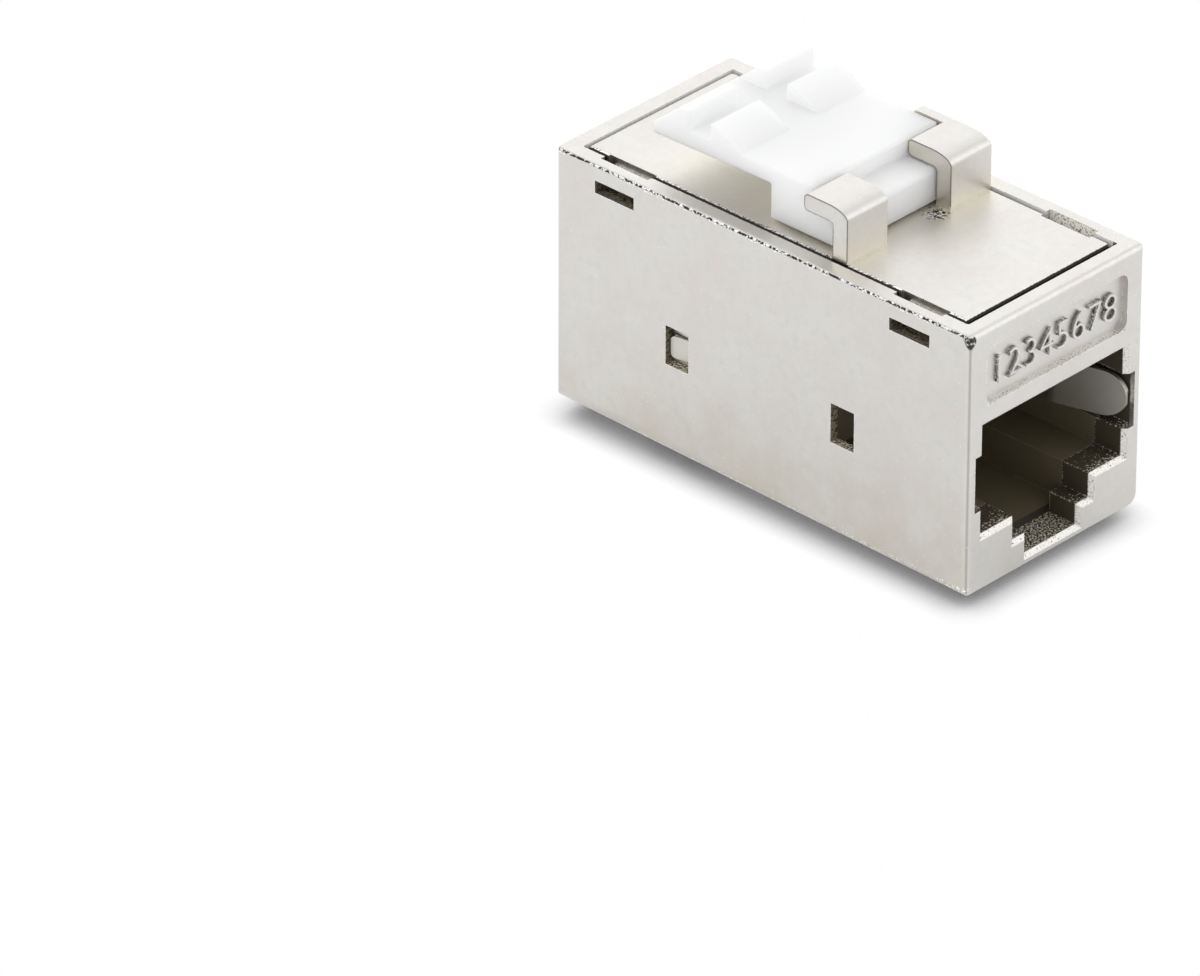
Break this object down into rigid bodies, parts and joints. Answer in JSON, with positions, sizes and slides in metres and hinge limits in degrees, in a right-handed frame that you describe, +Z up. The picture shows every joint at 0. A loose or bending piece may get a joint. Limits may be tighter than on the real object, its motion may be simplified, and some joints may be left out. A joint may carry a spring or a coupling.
{
  "type": "rj45 inline coupler",
  "caption": "Shielded inline coupler that joins network plugs end to end in a metal body, with a springy white catch on top for a keystone opening.",
  "frame": {"origin": "centre of the outline in plan, at the underside of the fixed catch ribs", "axes": "+Y along the coupler from the rear port to the front port that faces the user, +Z up to the latch"},
  "size_m": [0.0144, 0.0314, 0.0221],
  "materials": {
    "nickel_casting": "satin nickel plating over a zinc casting",
    "white_nylon": "smooth moulded white nylon",
    "black_plastic": "fine matt moulded black",
    "board_laminate": "green solder mask",
    "spring_metal": "bright rolled strip",
    "gold_contact": "thin gold plating"
  },
  "bodies": {
    "root": {"housing": "nickel_casting", "top_cover": "nickel_casting", "keystone_latch": "white_nylon", "rear_port_insert": "black_plastic", "front_port_insert": "black_plastic", "circuit_board": "board_laminate", "rear_ground_spring": "spring_metal", "front_ground_spring": "spring_metal", "rear_contact_1": "gold_contact", "rear_contact_2": "gold_contact", "rear_contact_3": "gold_contact", "rear_contact_4": "gold_contact", "rear_contact_5": "gold_contact", "rear_contact_6": "gold_contact", "rear_contact_7": "gold_contact", "rear_contact_8": "gold_contact", "front_contact_1": "gold_contact", "front_contact_2": "gold_contact", "front_contact_3": "gold_contact", "front_contact_4": "gold_contact", "front_contact_5": "gold_contact", "front_contact_6": "gold_contact", "front_contact_7": "gold_contact", "front_contact_8": "gold_contact"}
  },
  "joints": []
}
